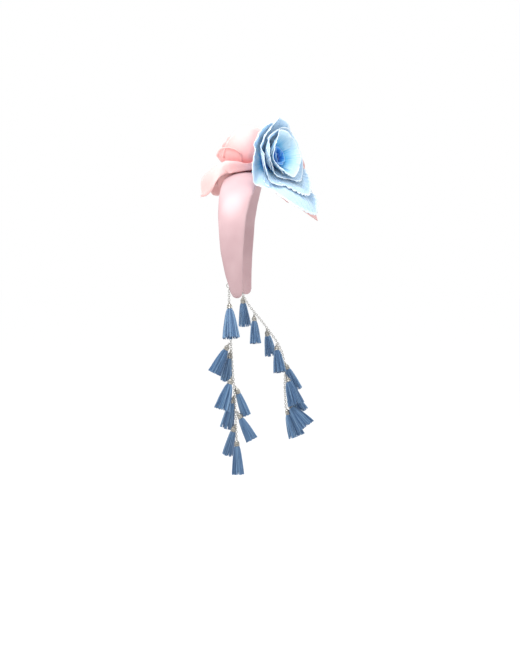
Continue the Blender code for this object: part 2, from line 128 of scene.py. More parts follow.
# Band: a stiff arch with a layer of foam, wrapped in pale pink satin that is pulled round both edges and
# closed with one lapped seam along the inner face. The satin is gathered a little where it turns in at the
# tips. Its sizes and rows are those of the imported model, in millimetres.
MM = 0.001
ARCH_HALF_WIDTH = 77.0
ARCH_RISE = 84.0
BAND_DROP = 158.6
LEG_LEAN_IN = 8.0
BAND_TIP_RADIUS = 7.0
BAND_EDGE = 1.3
BandRow = namedtuple("BandRow", "drop width setback thickness")
BAND = (
    BandRow(0, 50.0, 5.0, 9.4),
    BandRow(4.6, 47.5, 8.0, 9.2),
    BandRow(13.6, 45.5, 11.0, 8.6),
    BandRow(28.6, 42.0, 14.2, 7.6),
    BandRow(51.6, 36.8, 16.6, 6.4),
    BandRow(96.6, 29.5, 16.7, 5.0),
    BandRow(125.6, 22.8, 14.5, 4.4),
    BandRow(146.6, 16.6, 11.5, 4.0),
    BandRow(158.6, 14.2, 9.8, 3.6),
)
ARCH_TURN_STEPS = 60
ARCH_LEG_STEPS = 30
COURSE_STEPS = 401
EASE_STEPS = 8  # the rows' corners are eased over this many steps to each side
BAND_ROWS = 320
BAND_TIP_ROWS = 12
BAND_ROUND = 72
BAND_MAP_ROUND = 0.1
OUTER_SHARE = 0.62  # of the way round a section, the padded outer face takes this much
CORNER_SHARE = 0.06
INNER_HALF = 0.94
SEAM_AT = 0.12  # from the middle of the inner face, as a share of the half width
SEAM_WIDTH = 0.3
SEAM_HEIGHT = 0.35
TIP_CROWN_POWER = 0.7
TIP_EDGE_POWER = 0.5
PUCKERS = 9
PUCKER_HEIGHT = 0.28
PUCKER_REACH = 9.0
SATIN_WAVE = 0.22
SATIN_WAVE_LENGTH = 26
SATIN_WAVE_ACROSS = 0.8
SATIN_WAVE_PLACE = 3.0
MERGE_DISTANCE = 0.00001


def piece_from(name, bm, finish, slot, *nodes, smooth_deg=60):
    """A finished piece on the one body, shaded smooth, that stands for the named nodes of the model."""
    mesh = bpy.data.meshes.new(name)
    bm.to_mesh(mesh)
    bm.free()
    mesh.shade_smooth()
    mesh.set_sharp_from_angle(angle=math.radians(smooth_deg))
    mesh.materials.append(finish)
    made = bpy.data.objects.new(name, mesh)
    bpy.context.scene.collection.objects.link(made)
    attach(made, "root")
    if nodes:
        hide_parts(*nodes)
    return made


def mapped_mesh():
    """An empty mesh with a layer for its map."""
    made = bmesh.new()
    made.loops.layers.uv.new("cloth")
    return made


def mapped_grid(bm, columns, rows, place, uv_size):
    """A grid put where place(x, y) says, x and y being shares from 0 to 1, with a map in metres on it."""
    layer = bm.loops.layers.uv.verify()
    made = bmesh.ops.create_grid(bm, x_segments=columns, y_segments=rows, size=0.5)["verts"]
    shares = {vert: (vert.co.x + 0.5, vert.co.y + 0.5) for vert in made}
    for face in {face for vert in made for face in vert.link_faces}:
        for loop in face.loops:
            x, y = shares[loop.vert]
            loop[layer].uv = (x * uv_size[0], y * uv_size[1])
    for vert, (x, y) in shares.items():
        vert.co = place(x, y)
    return made


def arch_half():
    """The middle line of the band's inner face from the seat down one leg: lengths, and points (x, drop)."""
    turns = np.linspace(0, math.pi / 2, ARCH_TURN_STEPS)
    shares = np.linspace(0, 1, ARCH_LEG_STEPS)[1:]
    across = [*(ARCH_HALF_WIDTH * np.sin(turns)), *(ARCH_HALF_WIDTH - LEG_LEAN_IN * shares**2)]
    drops = [*(ARCH_RISE * (1 - np.cos(turns))), *(ARCH_RISE + (BAND_DROP - ARCH_RISE) * shares)]
    points = np.stack([across, drops], axis=1)
    steps = np.linalg.norm(np.diff(points, axis=0), axis=1)
    return np.concatenate([[0], np.cumsum(steps)]), points


ARCH_LENGTHS, ARCH_POINTS = arch_half()
BAND_HALF_LENGTH = float(ARCH_LENGTHS[-1])


def band_course():
    """From the right tip to the left: lengths, places, outward, across, half widths and heights."""
    lengths = np.linspace(-BAND_HALF_LENGTH, BAND_HALF_LENGTH, COURSE_STEPS)
    x = np.sign(lengths) * np.interp(np.abs(lengths), ARCH_LENGTHS, ARCH_POINTS[:, 0])
    drops = np.interp(np.abs(lengths), ARCH_LENGTHS, ARCH_POINTS[:, 1])
    columns = [x, drops]
    for name in ("setback", "width", "thickness"):
        columns.append(np.interp(drops, [row.drop for row in BAND], [getattr(row, name) for row in BAND]))
    ease = np.hanning(2 * EASE_STEPS + 1)
    ease /= ease.sum()
    ended = [np.pad(column, EASE_STEPS, mode="reflect", reflect_type="odd") for column in columns]
    x, drops, setbacks, widths, heights = [np.convolve(column, ease, "valid") for column in ended]
    places = np.stack([x, setbacks, -drops], axis=1)
    along = np.gradient(places, axis=0)
    outward = np.stack([-along[:, 2], np.zeros(len(along)), along[:, 0]], axis=1)
    outward /= np.linalg.norm(outward, axis=1, keepdims=True)
    across = np.cross(outward, along)
    across /= np.linalg.norm(across, axis=1, keepdims=True)
    return lengths, places, outward, across, widths / 2, heights


COURSE = band_course()


def on_band(length):
    """Place, outward, rearward, half width and thickness at a length along the band, in millimetres."""
    lengths, *columns = COURSE
    found = []
    for column in columns:
        if column.ndim == 2:
            found.append(Vector([float(np.interp(length, lengths, column[:, i])) for i in range(3)]))
        else:
            found.append(float(np.interp(length, lengths, column)))
    return found


def band_section(share):
    """Round the band's section: share of the half width, of the crown's rise, and of the edge's height."""
    inner_start = OUTER_SHARE + CORNER_SHARE
    inner_end = 1 - CORNER_SHARE
    if share <= OUTER_SHARE:
        turn = math.pi * (share / OUTER_SHARE - 0.5)
        return math.sin(turn), math.cos(turn), 1.0
    if share <= inner_start:
        turn = math.pi / 2 * (share - OUTER_SHARE) / CORNER_SHARE
        return INNER_HALF + (1 - INNER_HALF) * math.cos(turn), 0.0, 1 - math.sin(turn)
    if share <= inner_end:
        return INNER_HALF * (1 - 2 * (share - inner_start) / (inner_end - inner_start)), 0.0, 0.0
    turn = math.pi / 2 * (1 - share) / CORNER_SHARE
    return -INNER_HALF - (1 - INNER_HALF) * math.cos(turn), 0.0, 1 - math.sin(turn)


def band_lengths():
    """Where the rows lie along the band: even along it, and closer round each tip."""
    body = BAND_HALF_LENGTH - BAND_TIP_RADIUS
    turns = np.linspace(math.pi / 2, 0, BAND_TIP_ROWS + 1)[1:]
    tip = [BAND_HALF_LENGTH - BAND_TIP_RADIUS * (1 - math.cos(turn)) for turn in turns]
    return [-length for length in reversed(tip)] + list(np.linspace(-body, body, BAND_ROWS)) + tip


BAND_LENGTHS = band_lengths()


def band_spot(share_along, share_round):
    """A point of the cover, in metres, with its closed tips, puckers, slack and lapped seam."""
    length = BAND_LENGTHS[round(share_along * (len(BAND_LENGTHS) - 1))]
    place, outward, rearward, half, height = on_band(length)
    side, crown_share, edge_share = band_section(share_round)
    to_end = BAND_HALF_LENGTH - abs(length)
    crown = height - BAND_EDGE
    edge = BAND_EDGE
    if to_end < BAND_TIP_RADIUS:
        closing = math.sqrt(max(BAND_TIP_RADIUS**2 - (BAND_TIP_RADIUS - to_end) ** 2, 0)) / BAND_TIP_RADIUS
        half = min(half, BAND_TIP_RADIUS * closing)
        crown *= closing**TIP_CROWN_POWER
        edge *= closing**TIP_EDGE_POWER
    gathers = math.cos(PUCKERS * math.pi * side)
    pucker = PUCKER_HEIGHT * math.exp(-to_end / PUCKER_REACH) * gathers * crown_share
    patch = Vector((length / SATIN_WAVE_LENGTH, side * SATIN_WAVE_ACROSS, SATIN_WAVE_PLACE))
    swell = SATIN_WAVE * noise.noise(patch) * crown_share
    on_inner_face = crown_share == 0 and edge_share == 0
    lap = SEAM_HEIGHT if on_inner_face and 0 < side - SEAM_AT < SEAM_WIDTH else 0.0
    rise = edge * edge_share + crown * crown_share + pucker + swell - lap
    return (place + rearward * (half * side) + outward * rise) * MM


def add_node(tree, kind, sockets=None, **settings):
    """A new node with these settings and these sockets fed."""
    made = tree.nodes.new(kind)
    for name, value in settings.items():
        setattr(made, name, value)
    feed(made, sockets or {})
    return made


def add_stretch(tree, vector, scale):
    """A vector made larger by this much along each of its three axes."""
    return add_node(tree, "ShaderNodeMapping", {"Vector": vector, "Scale": scale}).outputs["Vector"]


def add_noise(tree, vector, scale, detail):
    """Noise over a vector."""
    made = add_node(tree, "ShaderNodeTexNoise", {"Vector": vector, "Scale": scale, "Detail": detail})
    return made.outputs["Fac"]


def srgb(red, green, blue):
    """A colour as a screen shows it, 0 to 255, in the linear values that a shader takes."""
    shares = [value / 255 for value in (red, green, blue)]
    linear = [share / 12.92 if share < 0.04045 else ((share + 0.055) / 1.055) ** 2.4 for share in shares]
    return (*linear, 1.0)


def add_ramp(tree, factor, *stops):
    """Colours over a factor: for each stop, its place from 0 to 1 and its colour as a screen shows it."""
    made = add_node(tree, "ShaderNodeValToRGB", {"Fac": factor})
    ramp = made.color_ramp
    while len(ramp.elements) < len(stops):
        ramp.elements.new(0.5)
    for element, (position, colour) in zip(ramp.elements, stops):
        element.position = position
        element.color = srgb(*colour)
    return made.outputs["Color"]


def add_bump(tree, height, strength, distance):
    """The surface's normal, tilted as a height over it asks, the distance in metres."""
    made = add_node(tree, "ShaderNodeBump", {"Height": height, "Strength": strength, "Distance": distance})
    return made.outputs["Normal"]


def satin():
    """Pale pink satin: long floats that catch the light along the band, over a very fine even weave."""
    made, shader = new_finish("pink_satin")
    tree = made.node_tree
    cloth = add_node(tree, "ShaderNodeUVMap", uv_map="cloth").outputs["UV"]
    weave = add_noise(tree, add_stretch(tree, cloth, (160, 2600, 1)), 1.0, 3.0)
    patches = add_noise(tree, cloth, 24.0, 2.0)
    feed(shader, {
        "Base Color": add_ramp(tree, patches, (0.30, (184, 152, 156)), (0.72, (196, 166, 169))),
        "Normal": add_bump(tree, weave, 0.10, 0.0002),
        "Roughness": 0.36,
        "Sheen Weight": 0.25,
        "Sheen Roughness": 0.35,
        "Anisotropic": 0.35,
    })
    return made


band_bm = mapped_mesh()
band_map = (2 * BAND_HALF_LENGTH * MM, BAND_MAP_ROUND)
mapped_grid(band_bm, len(BAND_LENGTHS) - 1, BAND_ROUND, band_spot, band_map)
bmesh.ops.remove_doubles(band_bm, verts=band_bm.verts, dist=MERGE_DISTANCE)
bmesh.ops.recalc_face_normals(band_bm, faces=band_bm.faces)
band_cover = piece_from("satin_band", band_bm, satin(), "satin", "band")

# Petals: each is cut from thin stiffened cloth, shaped over a warm ball and glued by its root to the ball in
# the flower's middle. Every petal tucks one side under its neighbour and lays the other over the next one.
# The lowest petals follow a rounded form, which isn't built, and are held off the band where it passes below.
FORM_CENTRE = Vector((0, -6, -82.6))
FORM_RADII = Vector((76.0, 91.0, 91.5))
PETAL_OFF_FORM = 1.6
BAND_OUTSIDE_HALF_WIDTH = 85.0
BAND_OUTSIDE_RISE = ARCH_RISE + 9.4
PETAL_OFF_BAND = 1.4
BAND_ZONE_MIDDLE = 8.0
BAND_ZONE = 25.0
BAND_ZONE_FADE = 16.0
LAYER_GAP = 2.8
ROOT_RADIUS = 9.2
LEAST_COLUMNS = 24
RIM_FLARE_DEG = 12
PETAL_OFF_WALL = 1.2
WALL_SOFTNESS = 3.0
WAVES_PER_PETAL = 2
PETAL_ROUND_DEG = 7.0
BOWL_POWER = 1.25
DROOP_POWER = 3.5
CLOTH_THICKNESS = 0.5
LONGER_NEIGHBOUR = 1.03  # a petal's side follows a longer neighbour no further than this share of its length
RIM_WAVE = 0.010
RIM_WAVE_TURNS = 4
RIM_RIPPLE = 0.004
RIM_RIPPLE_TURNS = 11
ROLL_START = 0.80  # of the way out, where the rim begins to roll
ROLL_REACH = 0.25
ROLL_UNEVEN = 0.5
ROLL_TURNS = 3
RUFFLE_EASED = 0.6
RUFFLE_TURNS = 4.2
RUFFLE_SWING = 1.7
TUCK_REACH = 0.25
RIB_WIDTH = 0.07
WANDER_ACROSS = 2.5  # how often the creases wander, across a petal and out along it
WANDER_OUT = 1.5
WANDER_PULL = 2.5
CREASE_MEAN = 0.55
CREASE_UNEVEN = 0.9
CREASE_LEAST = 0.1
CREASE_ACROSS = 4
CREASE_OUT = 2
CREASE_PLACE = 9
CREASE_REACH = 50  # each petal's creases come from its own part of the noise
FINE_CREASE = 0.35
FINE_CREASES = 2.3
FINE_WANDER_PULL = 4
# The petals' colour deepens towards the flower's heart and on the inner rings: partly the cloth's own colour,
# partly painted shade of the heart.
FIRST_RING_FADE = 0.10  # how far towards the pale hem the colour fades on the innermost petals
RING_FADE = 0.26  # and how much further on each ring outside them
RING_FADE_POWER = 1.3
FADE_POWER = 0.8
FADE_POWER_A_RING = 0.07  # the outer rings turn pale sooner along the petal
Petal = namedtuple("Petal", "length rim_deg droop_deg")
PetalRing = namedtuple("PetalRing", "root_deg turn_deg ruffle petals")
Wall = namedtuple("Wall", "point normal")
Flower = namedtuple("Flower", "name centre axis front rings walls")
Cloth = namedtuple(
    "Cloth",
    "overlap tuck rounding roll_deg pleats_a_radian pleat rim_pleat rib ruffle notch grid_a_pleat rows",
)


def turned_round(wall):
    """The same wall seen from its other side."""
    return Wall(wall.point, tuple(-share for share in wall.normal))


def soft_floor(distance, least):
    """At least that distance, reached smoothly, so that petals stay nested where they are pressed."""
    excess = (distance - least) / WALL_SOFTNESS
    return least + WALL_SOFTNESS * (math.log1p(math.exp(-abs(excess))) + max(excess, 0))


def smooth_step(share):
    """From 0 to 1 as the share goes from 0 to 1, level at both ends."""
    share = min(max(share, 0.0), 1.0)
    return share * share * (3 - 2 * share)


def off_the_form(point, level):
    """The point kept outside the rounded form that the lowest petals lie on, higher for a ring on others."""
    from_centre = point - FORM_CENTRE
    scaled = Vector(a / b for a, b in zip(from_centre, FORM_RADII)).length
    height = from_centre.length * (1 - 1 / scaled)
    lift = soft_floor(height, PETAL_OFF_FORM + level * LAYER_GAP) - height
    return point + from_centre.normalized() * lift


def off_the_band(point, level):
    """The point kept above the band where the band passes under it, higher for a ring that lies on others."""
    near_band = smooth_step((BAND_ZONE + BAND_ZONE_FADE - abs(point.y - BAND_ZONE_MIDDLE)) / BAND_ZONE_FADE)
    from_centre = Vector((point.x, 0, point.z + ARCH_RISE))
    scaled = math.hypot(from_centre.x / BAND_OUTSIDE_HALF_WIDTH, from_centre.z / BAND_OUTSIDE_RISE)
    height = from_centre.length * (1 - 1 / scaled)
    lift = soft_floor(height, PETAL_OFF_BAND + level * LAYER_GAP) - height
    return point + from_centre.normalized() * (lift * near_band)


def off_the_wall(point, wall, level):
    """The point kept on its own flower's side of the wall where two flowers press together."""
    normal = Vector(wall.normal).normalized()
    distance = (point - Vector(wall.point)).dot(normal)
    return point + normal * (soft_floor(distance, PETAL_OFF_WALL + level * LAYER_GAP) - distance)


def ring_form(ring, round_share):
    """Length, rim angle and droop at a share of the way round, and how far that is from a petal's middle."""
    count = len(ring.petals)
    across = 2 * ((round_share * count + 0.5) % 1.0) - 1
    middle = math.floor(round_share * count + 0.5)
    beside = middle + (1 if across > 0 else -1)
    blend = 0.5 * across**2
    mixed = [a + (b - a) * blend for a, b in zip(ring.petals[middle % count], ring.petals[beside % count])]
    return (*mixed, across)


def petal_piece(flower, ring_number, number, cloth, finish, slot):
    """One petal of a ring, as a sheet. Its flat width, for its map, comes from its share of the turn round
    the ring, its length and the flare of its rim.
    """
    ring = flower.rings[ring_number]
    level = len(flower.rings) - 1 - ring_number
    count = len(ring.petals)
    name = f"{flower.name}_{ring_number + 1}_{'abcde'[number]}"
    chance = random.Random(name)
    phases = [chance.uniform(0, 2 * math.pi) for _ in range(5)]
    spot = Vector([chance.uniform(-CREASE_REACH, CREASE_REACH) for _ in range(3)])
    axis = Vector(flower.axis).normalized()
    front = Vector(flower.front)
    front = (front - axis * front.dot(axis)).normalized()
    side = axis.cross(front)
    half_turn = math.pi * cloth.overlap / count
    pleats = cloth.pleats_a_radian * 2 * half_turn
    own = ring.petals[number]

    def place(x, y):
        across = 2 * x - 1
        round_share = (number + 0.5 * cloth.overlap * across) / count
        length, rim_deg, droop_deg, from_middle = ring_form(ring, round_share)
        rim = min(length, own.length * LONGER_NEIGHBOUR) * (1 - cloth.rounding * abs(across) ** 3)
        waved = RIM_WAVE * math.sin(RIM_WAVE_TURNS * across + phases[0])
        rim *= 1 + waved + RIM_RIPPLE * math.sin(RIM_RIPPLE_TURNS * across + phases[1])
        rim -= cloth.notch * (1 - abs(math.sin(0.5 * math.pi * pleats * across)))
        out = ROOT_RADIUS + (rim - ROOT_RADIUS) * y
        share = (out - ROOT_RADIUS) / (length - ROOT_RADIUS)
        lean = ring.root_deg + (rim_deg - ring.root_deg) * share**BOWL_POWER + droop_deg * share**DROOP_POWER
        lean += PETAL_ROUND_DEG * (0.5 - from_middle**2) * share
        uneven = 1 + ROLL_UNEVEN * math.sin(ROLL_TURNS * across + phases[2])
        lean += cloth.roll_deg * smooth_step((y - ROLL_START) / ROLL_REACH) * uneven
        wave = RUFFLE_EASED * ring.ruffle * math.cos(2 * math.pi * WAVES_PER_PETAL * (from_middle + 1) / 2)
        swing = math.cos(RUFFLE_SWING * across + phases[4])
        wave += cloth.ruffle * math.sin(RUFFLE_TURNS * across + phases[3]) * swing
        lean = math.radians(lean) + wave * share**2 / out
        angle = 2 * math.pi * round_share + math.radians(ring.turn_deg)
        around = front * math.cos(angle) + side * math.sin(angle)
        point = Vector(flower.centre) + (axis * math.cos(lean) + around * math.sin(lean)) * out
        if y > 0:
            for wall in flower.walls:
                point = off_the_wall(point, wall, level)
            point = off_the_band(off_the_form(point, level), level)
        wander = noise.noise(spot + Vector((across * WANDER_ACROSS, y * WANDER_OUT, 0)))
        patch = Vector((across * CREASE_ACROSS, y * CREASE_OUT, CREASE_PLACE))
        strength = CREASE_MEAN + CREASE_UNEVEN * noise.noise(spot + patch)
        pleat_height = (cloth.pleat + cloth.rim_pleat * y**3) * y * max(strength, CREASE_LEAST)
        crease = pleat_height * math.sin(math.pi * pleats * across + WANDER_PULL * wander)
        fine_turn = FINE_CREASES * math.pi * pleats * across + FINE_WANDER_PULL * wander
        crease += FINE_CREASE * pleat_height * math.sin(fine_turn)
        rib = cloth.rib * math.exp(-((across / RIB_WIDTH) ** 2)) * y * (1 - y)
        off = cloth.tuck * across * smooth_step(y / TUCK_REACH) + crease + rib
        return (point + (around * math.cos(lean) - axis * math.sin(lean)) * off) * MM

    columns = max(LEAST_COLUMNS, round(pleats * cloth.grid_a_pleat))
    # The depth layer sets how deep the colour is along each petal: partly the cloth's own colour, partly
    # painted shade of the heart.
    palest = min(FIRST_RING_FADE + RING_FADE * ring_number**RING_FADE_POWER, 1.0)
    flare = math.radians(min(own.rim_deg + RIM_FLARE_DEG, 90))
    rim_width = 2 * half_turn * own.length * math.sin(flare)
    bm = mapped_mesh()
    depth = bm.verts.layers.float.new("depth")
    hem = bm.verts.layers.float.new("hem")
    mapped_grid(bm, columns, cloth.rows, lambda x, y: (x, y, 0), (rim_width * MM, own.length * MM))
    for vert in bm.verts:
        x, y = vert.co.x, vert.co.y
        vert.co = place(x, y)
        vert[depth] = y ** (FADE_POWER - FADE_POWER_A_RING * ring_number) * palest
        vert[hem] = y
    bmesh.ops.recalc_face_normals(bm, faces=bm.faces)
    area = sum(face.calc_area() for face in bm.faces)
    made = piece_from(name, bm, finish, slot, f"{flower.name}_{ring_number + 1}")
    layer = made.modifiers.new("cloth", "SOLIDIFY")
    layer.thickness = CLOTH_THICKNESS * MM
    layer.offset = 0.0
    return made


def add_math(tree, operation, *values):
    """What an operation makes of these values, each a number or another node's output."""
    return add_node(tree, "ShaderNodeMath", dict(enumerate(values)), operation=operation).outputs[0]


def petal_cloth(name, colours, edge, sheen, painted_crinkle_shading, weave_height):
    """Thin stiffened cloth: deep in the flower's heart, partly its own colour and partly painted shade, paler
    outwards, with painted light and shade along the creases and a painted highlight on the hems.
    """
    made, shader = new_finish(name)
    tree = made.node_tree
    cloth = add_node(tree, "ShaderNodeUVMap", uv_map="cloth").outputs["UV"]
    depth = add_node(tree, "ShaderNodeAttribute", attribute_name="depth").outputs["Fac"]
    hem = add_node(tree, "ShaderNodeAttribute", attribute_name="hem").outputs["Fac"]
    # The crinkles' noise raises the relief and shifts the colour with it: painted light and shade, darker in
    # the crinkles' hollows.
    crinkle_relief_and_shading = add_noise(tree, add_stretch(tree, cloth, (420, 26, 1)), 1.0, 4.0)
    shift = add_math(tree, "MULTIPLY_ADD", crinkle_relief_and_shading, painted_crinkle_shading, depth)
    tone = add_ramp(tree, add_math(tree, "SUBTRACT", shift, painted_crinkle_shading / 2), *colours)
    # A painted highlight along the hems, strongest where the colour is palest.
    near_edge = add_node(
        tree,
        "ShaderNodeMapRange",
        {"Value": hem, "From Min": 0.93, "From Max": 1.0, "To Min": 0.0, "To Max": 1.0},
        interpolation_type="SMOOTHSTEP",
    )
    painted_hem_highlight_mask = add_math(tree, "MULTIPLY", near_edge.outputs["Result"], depth)
    tone_with_painted_hem_highlight = add_node(tree, "ShaderNodeMix", {"Factor": painted_hem_highlight_mask, 6: tone, 7: srgb(*edge)}, data_type="RGBA")
    weave = add_noise(tree, add_stretch(tree, cloth, (2600, 2600, 1)), 1.0, 1.0)
    relief = add_math(tree, "MULTIPLY_ADD", weave, weave_height, crinkle_relief_and_shading)
    feed(shader, {
        "Base Color": tone_with_painted_hem_highlight.outputs[2],
        "Normal": add_bump(tree, relief, 0.35, 0.0005),
        "Roughness": 0.72,
        "Sheen Weight": sheen,
        "Sheen Roughness": 0.4,
        "Subsurface Weight": 0.35,
        "Subsurface Radius": (1.0, 1.0, 1.0),
        "Subsurface Scale": 0.002,
    })
    return made


BLUE_MEETS_CROWN = Wall((-7, -12, 24.4), (-0.80, -0.59, -0.10))
BLUE_MEETS_BROW = Wall((9, -34, 17.4), (-1.0, 0.0, 0.0))
BROW_MEETS_CROWN = Wall((22, -9, 19.4), (0.30, -0.85, -0.43))


def flower_pieces(flower, cloth, finish, slot, cut_apart=None):
    """Every petal of a flower; cut_apart gives, by (ring, petal), the cloth of the few cut another way."""
    for ring_number, ring in enumerate(flower.rings):
        for number in range(len(ring.petals)):
            own_cloth = (cut_apart or {}).get((ring_number + 1, number + 1), cloth)
            petal_piece(flower, ring_number, number, own_cloth, finish, slot)


# Blue flower: sheer sky blue cloth, crinkled along each petal, deep blue in the heart, partly its own colour
# and partly painted shade, and almost white at the hems, which carry a painted highlight. It faces forward
# and to the right, its longest petal hangs down in front, and the two longest petals have scalloped hems.
BLUE = Flower(
    name="blue_petals",
    centre=(-20, -26, 23.4),
    axis=(-0.47, -0.85, 0.24),
    front=(0.20, -0.50, -0.80),
    rings=(
        PetalRing(18, 0, 0.6, (Petal(16, 8, 0), Petal(17, 8, 0), Petal(16, 8, 0))),
        PetalRing(34, 60, 1.0, (Petal(23, 25, 0), Petal(24, 22, 0), Petal(23, 25, 0))),
        PetalRing(50, 350, 1.4, (Petal(44, 42, 0), Petal(46, 36, 0), Petal(46, 34, 0), Petal(38, 41, 0))),
        PetalRing(68, 30, 1.8, (Petal(54, 51, 4), Petal(50, 44, 0), Petal(44, 44, 0), Petal(39, 54, 0))),
        PetalRing(
            88,
            10,
            2.2,
            (Petal(73, 55, 3), Petal(52, 58, 0), Petal(59, 47, 0), Petal(38, 58, 0), Petal(47, 66, 0)),
        ),
        PetalRing(
            112,
            0,
            2.4,
            (Petal(96, 61, 4), Petal(50, 80, 0), Petal(50, 62, 0), Petal(37, 74, 0), Petal(55, 84, 2)),
        ),
    ),
    walls=(BLUE_MEETS_CROWN, BLUE_MEETS_BROW),
)
BLUE_CLOTH = Cloth(
    overlap=1.7, tuck=0.9, rounding=0.20, roll_deg=4, pleats_a_radian=6, pleat=0.30, rim_pleat=0.20, rib=0.0,
    ruffle=0.4, notch=0.0, grid_a_pleat=7, rows=24,
)
blue_cloth = petal_cloth(
    "blue_petal_cloth",
    colours=(
        (0.10, (0, 88, 188)),
        (0.28, (14, 118, 208)),
        (0.42, (96, 180, 228)),
        (0.58, (170, 210, 234)),
        (0.76, (196, 220, 236)),
        (0.92, (174, 202, 228)),
    ),
    # the colour of the hems' painted highlight
    edge=(226, 238, 248),
    sheen=0.25,
    painted_crinkle_shading=0.34,
    weave_height=0.5,
)
BLUE_FRILL = BLUE_CLOTH._replace(
    overlap=1.5, pleats_a_radian=11, pleat=0.5, rim_pleat=0.6, notch=1.1, grid_a_pleat=8
)
flower_pieces(BLUE, BLUE_CLOTH, blue_cloth, "blue_fabric", {(6, 1): BLUE_FRILL, (5, 1): BLUE_FRILL})

# Pink flowers: the same make in a heavier, softer rose pink cloth, with broad folds and a pressed rib down
# each petal. One sits on top of the band and drapes backwards, the other at the front left by the blue one.
CROWN = Flower(
    name="crown_petals",
    centre=(16, 8, 18.4),
    axis=(0.28, -0.02, 0.95),
    front=(-0.25, 0.95, 0.0),
    rings=(
        PetalRing(18, 60, 0.8, (Petal(44, 6, 0), Petal(51, 8, 0), Petal(51, 8, 0))),
        PetalRing(40, 0, 1.2, (Petal(47, 22, 0), Petal(54, 16, 0), Petal(58, 22, 0))),
        PetalRing(68, 45, 1.4, (Petal(46, 30, 0), Petal(54, 20, 0), Petal(54, 36, 0), Petal(47, 42, 0))),
        PetalRing(98, 0, 1.5, (Petal(42, 64, 0), Petal(57, 32, 0), Petal(53, 48, 0), Petal(46, 62, 0))),
        PetalRing(
            117,
            15,
            1.6,
            (Petal(78, 72, 60), Petal(60, 70, 58), Petal(51, 74, 0), Petal(44, 84, 4), Petal(58, 84, 32)),
        ),
    ),
    walls=(turned_round(BLUE_MEETS_CROWN), turned_round(BROW_MEETS_CROWN)),
)
BROW = Flower(
    name="brow_petals",
    centre=(31, -36, 12.4),
    axis=(0.45, -0.68, 0.58),
    front=(-0.35, -0.75, -0.6),
    rings=(
        PetalRing(26, 0, 0.8, (Petal(30, 14, 0), Petal(32, 14, 0), Petal(30, 14, 0))),
        PetalRing(50, 60, 1.2, (Petal(38, 34, 0), Petal(38, 34, 0), Petal(40, 34, 0))),
        PetalRing(78, 30, 1.4, (Petal(46, 56, 0), Petal(44, 56, 0), Petal(42, 56, 0), Petal(44, 56, 0))),
        PetalRing(96, 0, 1.6, (Petal(90, 80, 24), Petal(50, 80, 0), Petal(44, 78, 0), Petal(46, 80, 0))),
    ),
    walls=(turned_round(BLUE_MEETS_BROW), BROW_MEETS_CROWN),
)
PINK_CLOTH = Cloth(
    overlap=1.6, tuck=1.0, rounding=0.20, roll_deg=7, pleats_a_radian=1.6, pleat=0.4, rim_pleat=0.2, rib=0.8,
    ruffle=0.8, notch=0.0, grid_a_pleat=12, rows=22,
)
# The rosier colour near the roots is partly the cloth's own colour and partly painted shade, as on the blue
# flower.
pink_cloth = petal_cloth(
    "pink_petal_cloth",
    colours=(
        (0.12, (212, 132, 135)),
        (0.32, (229, 165, 165)),
        (0.60, (233, 178, 177)),
        (1.00, (232, 180, 177)),
    ),
    # the colour of the hems' fainter painted highlight
    edge=(236, 188, 185),
    sheen=0.35,
    painted_crinkle_shading=0.14,
    weave_height=0.35,
)
NARROW_CUT = PINK_CLOTH._replace(overlap=1.0, rounding=0.5)
UNROLLED_CUT = PINK_CLOTH._replace(roll_deg=2)
flower_pieces(CROWN, PINK_CLOTH, pink_cloth, "pink_fabric", {(2, 1): UNROLLED_CUT, (2, 2): UNROLLED_CUT})
flower_pieces(BROW, PINK_CLOTH, pink_cloth, "pink_fabric", {(4, 1): NARROW_CUT})

# Flower cores: a cotton ball wound tight with thread, on a short wound stem and a felt foot. The foot is sewn
# and glued to the band's padded face, and the petals' roots are glued round the ball, so little of it shows.
CORE_VOXEL = 0.45
CORE_ROUNDINGS = 6
CORE_WIND_STEP = 0.9
CORE_WIND_HEIGHT = 0.12
CORE_WIND_SLANT_X = 0.3
CORE_WIND_SLANT_Y = 0.55
CORE_WIND_WANDER = 0.8
CORE_WIND_PATCH = 6


def wound_cotton(name, colour, painted_groove_shade):
    """Cotton thread wound over a ball: matt, with fine slanting grooves between the turns and painted shade
    darkening the grooves.
    """
    made, shader = new_finish(name)
    tree = made.node_tree
    place = add_node(tree, "ShaderNodeTexCoord").outputs["Object"]
    turned = add_node(tree, "ShaderNodeMapping", {"Vector": place, "Rotation": (0.5, 0.3, 0.0)})
    winding = {"Scale": 180.0, "Distortion": 3.0, "Detail": 2.0, "Detail Scale": 2.0}
    wound = {"Vector": turned.outputs["Vector"], **winding}
    turns = add_node(tree, "ShaderNodeTexWave", wound, bands_direction="Z").outputs["Fac"]
    # The darker colour of the grooves is painted shade.
    feed(shader, {
        "Base Color": add_ramp(tree, turns, (0.0, painted_groove_shade), (1.0, colour)),
        "Normal": add_bump(tree, turns, 0.5, 0.0003),
        "Roughness": 0.85,
    })
    return made


